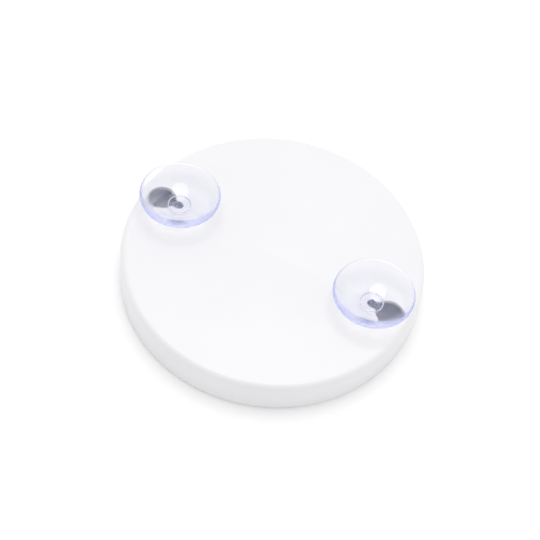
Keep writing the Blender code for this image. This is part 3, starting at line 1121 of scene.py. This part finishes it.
@dataclass
class SuctionCup:
    """A clear cup in one moulding: bowl, collar, neck and mushroom head."""

    platter: Platter
    bowl_floor: float = 0.0030
    bowl_cone: float = 0.35  # share of the bowl's depth that is straight; the rest curves up
    lip_width: float = 0.0008
    lip_drop: float = 0.0006
    flare: float = 0.42  # the same share of the outer wall's rise
    collar_radius: float = 0.0059
    collar_top: float = 0.0016
    neck_radius: float = 0.0022
    head_radius: float = 0.0058
    head_thickness: float = 0.0030
    tip: float = 0.72  # flat end of the head, as a share of its radius
    tip_rise: float = 0.42  # height of the cone above it, as a share of the head's thickness
    shoulder: float = 0.86  # flat back of the head, as a share of its radius
    shoulder_drop: float = 0.22  # depth of its slope, as a share of the head's thickness
    gate_radius: float = 0.0009
    gate_height: float = 0.00040
    gate_foot: float = 1.4  # the foot of the gate mark, as a share of its radius
    gate_foot_height: float = 0.00018
    gate_room: float = 1.6  # where the bowl's curve ends, as the same share
    steps: int = 28
    segments: int = 160

    def outer(self, mouth: float, height: float) -> list[Corner]:
        """The outside of the bowl, from the collar up to the lip.

        Args:
            mouth: The mouth's radius.
            height: The mouth's height above the face.

        Returns:
            The curve's points.
        """
        rise = height - self.lip_drop - self.collar_top
        curve = []
        for i in range(1, self.steps + 1):
            t = i / self.steps
            level = self.collar_top + rise * (self.flare * t + (1 - self.flare) * t * t)
            curve.append(Corner(self.collar_radius + t * (mouth - self.collar_radius), level))
        return curve

    def inner(self, mouth: float, height: float) -> list[Corner]:
        """The inside of the bowl, from the lip down to the gate mark in its middle.

        Args:
            mouth: The mouth's radius.
            height: The mouth's height above the face.

        Returns:
            The curve's points.
        """
        lip = mouth - self.lip_width
        depth = height - self.bowl_floor
        curve = []
        for i in range(self.steps):
            t = 1 - i / self.steps
            level = self.bowl_floor + depth * (self.bowl_cone * t + (1 - self.bowl_cone) * t * t)
            curve.append(Corner(lip * t, level))
        return [corner for corner in curve if corner.r > self.gate_radius * self.gate_room]

    def section(self, mouth: float, height: float) -> list[Corner]:
        """Half section with z = 0 on the platter's face.

        Args:
            mouth: The mouth's radius.
            height: The mouth's height above the face.

        Returns:
            The section's corners, from the head's underside up and round to the bowl's middle.
        """
        gap = self.platter.bearing.gap
        head_top = -self.platter.wall - gap
        head_bottom = head_top - self.head_thickness
        return [
            Corner(0.0, head_bottom),
            Corner(self.tip * self.head_radius, head_bottom, FULL_ROUND),
            Corner(self.head_radius, head_bottom + self.tip_rise * self.head_thickness, BROAD_ROUND),
            Corner(self.head_radius, head_top - self.shoulder_drop * self.head_thickness, MEDIUM_ROUND),
            Corner(self.shoulder * self.head_radius, head_top, SMALL_ROUND),
            Corner(self.neck_radius, head_top, SMALL_ROUND),
            Corner(self.neck_radius, gap, SMALL_ROUND),
            Corner(self.collar_radius, gap, MEDIUM_ROUND),
            Corner(self.collar_radius, self.collar_top, MEDIUM_ROUND),
            *self.outer(mouth, height),
            Corner(mouth, height, FINE_ROUND),
            *self.inner(mouth, height),
            Corner(self.gate_radius * self.gate_foot, self.bowl_floor + self.gate_foot_height),
            Corner(self.gate_radius, self.bowl_floor + self.gate_height, HAIR_ROUND),
            Corner(0.0, self.bowl_floor + self.gate_height),
        ]

    def build(self, name: str, body: Body, node: str) -> None:
        """Makes one cup.

        Args:
            name: The piece's name.
            body: The body it moves with.
            node: The CAD node it replaces.
        """
        place = Place.of(node)
        face = self.platter.shell.high
        clear = ClearVinyl(centre=(place.x, place.y)).made(f"clear PVC of {name}")
        shape = turned(self.section(place.radius, place.high - face), self.segments)
        shape.transform(Matrix.Translation((place.x, place.y, face)))
        fit(name, shape, clear, body, node)


@dataclass
class Base:
    """The tray that stands still, and its feet."""

    bearing: Bearing
    tray: Place = field(default_factory=lambda: Place.of("base_plate"))
    bush: Place = field(default_factory=lambda: Place.of("pivot_bush"))
    cap: Place = field(default_factory=lambda: Place.of("pivot_cap"))
    washer: Place = field(default_factory=lambda: Place.of("pivot_washer"))
    floor: float = 0.0026
    seat: float = 0.0010
    rim_height: float = 0.0075
    rim_wall: float = 0.0022
    lip_wall: float = 0.0015
    lip_depth: float = 0.0015
    boss_wall: float = 0.0020
    edge: float = 0.0008
    rib_count: int = 6
    rib_height: float = 0.0024
    rib_width: float = 0.0016
    rib_root: float = 0.0008  # how far a rib goes down into the floor
    pilot_depth: float = 0.0029
    bush_bore: float = 0.0048
    foot_count: int = 6
    foot_steps: int = 96
    grip_rings: tuple[float, ...] = (0.74, 0.52, 0.30)  # their middles, as shares of the foot's radius
    grip_mouth: float = 0.05  # half of a ring's width, as the same share
    grip_floor: float = 0.03
    grip_depth: float = 0.0002
    recess: float = 0.0012
    recess_ease: float = 0.00025
    segments: int = 192

    def section(self) -> list[Corner]:
        """Section as a loop, from the bush's bore outwards and back below.

        Returns:
            The section's corners.
        """
        gap = self.bearing.gap
        low = self.tray.low
        floor = low + self.floor
        seat = floor + self.seat
        lip = self.bearing.lower.radius + gap
        rim_inner = self.tray.radius - self.rim_wall
        cap = self.cap.radius + gap
        counterbore = self.washer.radius + gap
        return [
            Corner(self.bush_bore, self.tray.high, FINE_ROUND),
            Corner(cap + self.boss_wall, self.tray.high, MEDIUM_ROUND),
            Corner(cap + self.boss_wall, floor, BROAD_ROUND),
            Corner(self.bearing.inner, floor, SMALL_ROUND),
            Corner(self.bearing.inner, seat, FINE_ROUND),
            Corner(lip, seat),
            Corner(lip, seat + self.lip_depth, SMALL_ROUND),
            Corner(lip + self.lip_wall, seat + self.lip_depth, SMALL_ROUND),
            Corner(lip + self.lip_wall, floor, WIDE_ROUND),
            Corner(rim_inner, floor, FULL_ROUND),
            Corner(rim_inner, low + self.rim_height, WIDE_ROUND),
            Corner(self.tray.radius, low + self.rim_height, WIDE_ROUND),
            Corner(self.tray.radius, low, self.edge),
            Corner(cap, low, FINE_ROUND),
            Corner(cap, self.cap.high + gap),
            Corner(counterbore, self.cap.high + gap, HAIR_ROUND),
            Corner(counterbore, self.bush.low),
            Corner(self.bush_bore, self.bush.low, HAIR_ROUND),
        ]

    def foot_shape(self, place: Place) -> bmesh.types.BMesh:
        """One rubber foot with three grip rings under it.

        Args:
            place: Where it sits.

        Returns:
            The foot as a bmesh.
        """
        grip = []
        for ring in self.grip_rings:
            sides = (
                (ring + self.grip_mouth, 0.0),
                (ring + self.grip_floor, self.grip_depth),
                (ring - self.grip_floor, self.grip_depth),
                (ring - self.grip_mouth, 0.0),
            )
            grip += [Corner(place.radius * share, depth) for share, depth in sides]
        section = [
            Corner(0.0, place.high),
            Corner(place.radius, place.high, SMALL_ROUND),
            Corner(place.radius, place.low, WIDE_ROUND),
            *grip,
            Corner(0.0, place.low),
        ]
        shape = turned(section, self.foot_steps)
        shape.transform(Matrix.Translation((place.x, place.y, 0.0)))
        return shape

    def build(self, finishes: Finishes) -> None:
        """Turns the tray, adds its ribs, drills it, and sets the feet in.

        Args:
            finishes: The shared finishes.
        """
        low = self.tray.low
        floor = low + self.floor
        start = self.bearing.lower.radius + self.bearing.gap + self.lip_wall / 2
        end = self.tray.radius - self.rim_wall / 2
        turns = [math.tau * i / self.rib_count for i in range(self.rib_count)]
        root, top = floor - self.rib_root, floor + self.rib_height
        ribs = [bar(turn, start, end, self.rib_width, root, top) for turn in turns]
        shape = machined(turned(self.section(), self.segments, ring=True), ribs, Cut.JOIN)
        seat = floor + self.seat
        bottom, mouth = seat - self.pilot_depth, seat + OVERCUT
        holes = [drill(x, y, self.bearing.screw_hole, bottom, mouth) for x, y in self.bearing.screws()]
        feet = [Place.of(f"foot_{i + 1}") for i in range(self.foot_count)]
        room = feet[0].radius + self.bearing.gap
        under, roof = low - OVERCUT, low + self.recess
        holes += [drill(foot.x, foot.y, room, under, roof, self.foot_steps) for foot in feet]
        mouths = on_rim([(foot.x, foot.y) for foot in feet], room, low)
        shape = eased(machined(shape, holes, Cut.AWAY), self.recess_ease, mouths, 2)
        fit("base_moulding", shape, finishes.white, Body.BASE, "base_plate")
        for i, foot in enumerate(feet):
            shape = self.foot_shape(foot)
            fit(f"rubber_foot_{i + 1}", shape, finishes.rubber, Body.BASE, f"foot_{i + 1}")


@dataclass
class Pivot:
    """The shouldered screw and what it runs in."""

    screw: Place = field(default_factory=lambda: Place.of("pivot_screw"))
    bush: Place = field(default_factory=lambda: Place.of("pivot_bush"))
    washer: Place = field(default_factory=lambda: Place.of("pivot_washer"))
    cap: Place = field(default_factory=lambda: Place.of("pivot_cap"))
    shoulder: float = 0.0030
    thread: float = 0.0018
    thread_start: float = 0.0002
    thread_rise: float = 0.0003
    pitch: float = 0.0007
    head_height: float = 0.0016
    bore: float = 0.0033
    bush_outer: float = 0.0045
    flange: float = 0.0007
    socket: float = 0.0020
    socket_sides: int = 6
    dimple: tuple[float, float] = (0.0016, 0.0022)  # the cap's dimple, across its floor and its mouth
    dimple_depth: float = 0.0002
    segments: int = 96

    def screw_shape(self) -> bmesh.types.BMesh:
        """The screw, with a hexagon socket in its head.

        Returns:
            The screw as a bmesh.
        """
        low, head = self.screw.low, self.screw.low + self.head_height
        section = [
            Corner(0.0, low),
            Corner(self.screw.radius, low, MEDIUM_ROUND),
            Corner(self.screw.radius, head, FINE_ROUND),
            Corner(self.shoulder, head, HAIR_ROUND),
            Corner(self.shoulder, self.bush.high, FINE_ROUND),
            Corner(self.thread, self.bush.high),
        ]
        turns = int((self.screw.high - self.thread - self.bush.high) / self.pitch)
        for i in range(turns):
            start = self.bush.high + self.thread_start + i * self.pitch
            section.append(Corner(self.thread, start))
            section.append(Corner(self.thread + self.thread_rise, start + self.pitch / 2))
        section += [
            Corner(self.thread, self.screw.high - self.thread * 0.5),
            Corner(self.thread * 0.5, self.screw.high),
            Corner(0.0, self.screw.high),
        ]
        bottom, mouth = low - OVERCUT / 2, low + self.head_height / 2
        socket = drill(0.0, 0.0, self.socket, bottom, mouth, self.socket_sides)
        return machined(turned(section, self.segments), [socket], Cut.AWAY)

    def build(self, finishes: Finishes) -> None:
        """Makes the screw, the bush, the washer and the cap.

        Args:
            finishes: The shared finishes.
        """
        fit("shoulder_screw", self.screw_shape(), finishes.steel, Body.PLATTER, "pivot_screw")
        washer = [
            Corner(self.bore, self.washer.low, HAIR_ROUND),
            Corner(self.bore, self.washer.high, HAIR_ROUND),
            Corner(self.washer.radius, self.washer.high, FINE_ROUND),
            Corner(self.washer.radius, self.washer.low, HAIR_ROUND),
        ]
        shape = turned(washer, self.segments, ring=True)
        fit("steel_washer", shape, finishes.steel, Body.PLATTER, "pivot_washer")
        bush = [
            Corner(self.bore, self.bush.low, FINE_ROUND),
            Corner(self.bore, self.bush.high, SMALL_ROUND),
            Corner(self.bush.radius, self.bush.high, FINE_ROUND),
            Corner(self.bush.radius, self.bush.high - self.flange, FINE_ROUND),
            Corner(self.bush_outer, self.bush.high - self.flange),
            Corner(self.bush_outer, self.bush.low, SMALL_ROUND),
        ]
        shape = turned(bush, self.segments, ring=True)
        fit("flanged_bush", shape, finishes.acetal, Body.BASE, "pivot_bush")
        cap = [
            Corner(0.0, self.cap.low + self.dimple_depth),
            Corner(self.dimple[0], self.cap.low + self.dimple_depth),
            Corner(self.dimple[1], self.cap.low, FINE_ROUND),
            Corner(self.cap.radius, self.cap.low, SMALL_ROUND),
            Corner(self.cap.radius, self.cap.high, HAIR_ROUND),
            Corner(0.0, self.cap.high),
        ]
        fit("cover_cap", turned(cap, self.segments), finishes.white, Body.BASE, "pivot_cap")


# ---- Studio -------------------------------------------------------------------------------------


@dataclass
class Softbox:
    """An oval studio light, aimed at the turntable."""

    name: str
    turn: float  # degrees from +X
    rise: float  # degrees above the floor
    distance: float
    width: float
    depth: float
    watts: float

    def build(self) -> None:
        """Hangs the light."""
        lamp = bpy.data.lights.new(self.name, "AREA")
        lamp.shape = "ELLIPSE"
        lamp.size = self.width
        lamp.size_y = self.depth
        lamp.energy = self.watts
        turn, rise = math.radians(self.turn), math.radians(self.rise)
        away = Vector((math.cos(turn) * math.cos(rise), math.sin(turn) * math.cos(rise), math.sin(rise)))
        holder = bpy.data.objects.new(self.name, lamp)
        holder.location = away * self.distance
        holder.rotation_euler = away.to_track_quat("Z", "Y").to_euler()
        bpy.context.scene.collection.objects.link(holder)


@dataclass
class Studio:
    """A white floor, a soft bright surround and the camera."""

    turn: float = 21.4  # the camera's azimuth in degrees
    rise: float = 56.0  # its elevation
    roll: float = 9.1
    distance: float = 0.80
    lens: float = 106.6
    shift: tuple[float, float] = (-0.0009, 0.0113)
    aim: Vector = field(default_factory=lambda: Vector((0.0, 0.0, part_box("platter_shell")[0].z)))
    sky_low: float = 0.72
    sky_high: float = 1.00
    sky_turn: float = 100.0
    sky_rise: float = 35.0
    sky_fade: tuple[float, float] = (-0.35, 0.95)  # cosines off its brightest point where it ends and peaks
    floor_radius: float = 6.0
    floor_albedo: float = 0.90
    floor_mottle: float = 0.995  # its darker patches, as a share
    floor_glow: float = 0.10
    bounces: int = 48
    haze_bounces: int = 6

    def build_camera(self) -> None:
        """Sets the camera at its height, turned about its own axis by the roll."""
        turn, rise = math.radians(self.turn), math.radians(self.rise)
        back = Vector((math.sin(turn) * math.cos(rise), -math.cos(turn) * math.cos(rise), math.sin(rise)))
        right = Vector((math.cos(turn), math.sin(turn), 0.0))
        up = back.cross(right)
        roll = math.radians(self.roll)
        across = right * math.cos(roll) + up * math.sin(roll)
        upward = up * math.cos(roll) - right * math.sin(roll)
        lens = bpy.data.cameras.new("camera")
        lens.lens = self.lens
        lens.shift_x, lens.shift_y = self.shift
        lens.clip_start, lens.clip_end = 0.01, 50.0
        camera = bpy.data.objects.new("camera", lens)
        camera.matrix_world = Matrix.Translation(self.aim + back * self.distance) @ Matrix(
            (across, upward, back)
        ).transposed().to_4x4()
        bpy.context.scene.collection.objects.link(camera)
        bpy.context.scene.camera = camera

    def build_sky(self) -> None:
        """Lights everything softly from all round, and most from behind the turntable."""
        world = bpy.data.worlds.new("soft surround")
        world.use_nodes = True
        tree = world.node_tree
        turn, rise = math.radians(self.sky_turn), math.radians(self.sky_rise)
        place = tree.nodes.new("ShaderNodeTexCoord")
        facing = tree.nodes.new("ShaderNodeVectorMath")
        facing.operation = "DOT_PRODUCT"
        facing.inputs[1].default_value = (
            math.cos(turn) * math.cos(rise),
            math.sin(turn) * math.cos(rise),
            math.sin(rise),
        )
        tree.links.new(place.outputs["Generated"], facing.inputs[0])
        level = tree.nodes.new("ShaderNodeMapRange")
        level.interpolation_type = "SMOOTHSTEP"
        level.inputs["From Min"].default_value = self.sky_fade[0]
        level.inputs["From Max"].default_value = self.sky_fade[1]
        level.inputs["To Min"].default_value = self.sky_low
        level.inputs["To Max"].default_value = self.sky_high
        tree.links.new(facing.outputs["Value"], level.inputs["Value"])
        background = tree.nodes["Background"]
        background.inputs["Color"].default_value = (1.0, 1.0, 1.0, 1.0)
        tree.links.new(level.outputs["Result"], background.inputs["Strength"])
        bpy.context.scene.world = world

    def build_floor(self) -> None:
        """Lays a plain white floor that glows a little, as a lit sweep does."""
        shape = bmesh.new()
        bmesh.ops.create_circle(shape, cap_ends=True, segments=96, radius=self.floor_radius)
        recipe = Recipe("white sweep")
        tone = self.floor_albedo
        recipe.dress(
            Base_Color=recipe.shades(recipe.noise(3.0), (tone * self.floor_mottle,) * 3, (tone,) * 3),
            Roughness=0.9,
            Specular_IOR_Level=0.0,
            Emission_Color=(1.0, 1.0, 1.0, 1.0),
            Emission_Strength=self.floor_glow,
        )
        mesh = meshed(shape, "floor")
        mesh.materials.append(recipe.material)
        floor = bpy.data.objects.new("floor", mesh)
        bpy.context.scene.collection.objects.link(floor)

    def build(self) -> None:
        """Sets up the studio, with plain display of its tones and long light paths for the clear cups."""
        bpy.context.scene.view_settings.view_transform = "Standard"
        paths = bpy.context.scene.cycles
        paths.max_bounces = self.bounces
        paths.transmission_bounces = self.bounces
        paths.glossy_bounces = self.bounces
        paths.diffuse_bounces = self.bounces // 3
        paths.volume_bounces = self.haze_bounces
        paths.blur_glossy = 0.0
        self.build_camera()
        self.build_sky()
        self.build_floor()
        Softbox(
            name="overhead diffuser", turn=125.0, rise=80.0, distance=1.2, width=0.85, depth=0.85, watts=3.4
        ).build()


def main() -> None:
    """Builds the studio and every piece, in the order they are put together."""
    logging.basicConfig(level=logging.INFO, format="%(name)s: %(message)s")
    Studio().build()
    finishes = Finishes()
    bearing = Bearing()
    Base(bearing).build(finishes)
    Pivot().build(finishes)
    bearing.build(finishes)
    PanHeadScrew(bearing).build()
    platter = Platter(bearing)
    platter.build(finishes)
    cup = SuctionCup(platter)
    cup.build("left_cup_moulding", Body.LEFT_CUP, "suction_cup_left")
    cup.build("right_cup_moulding", Body.RIGHT_CUP, "suction_cup_right")


if __name__ == "__main__":
    main()
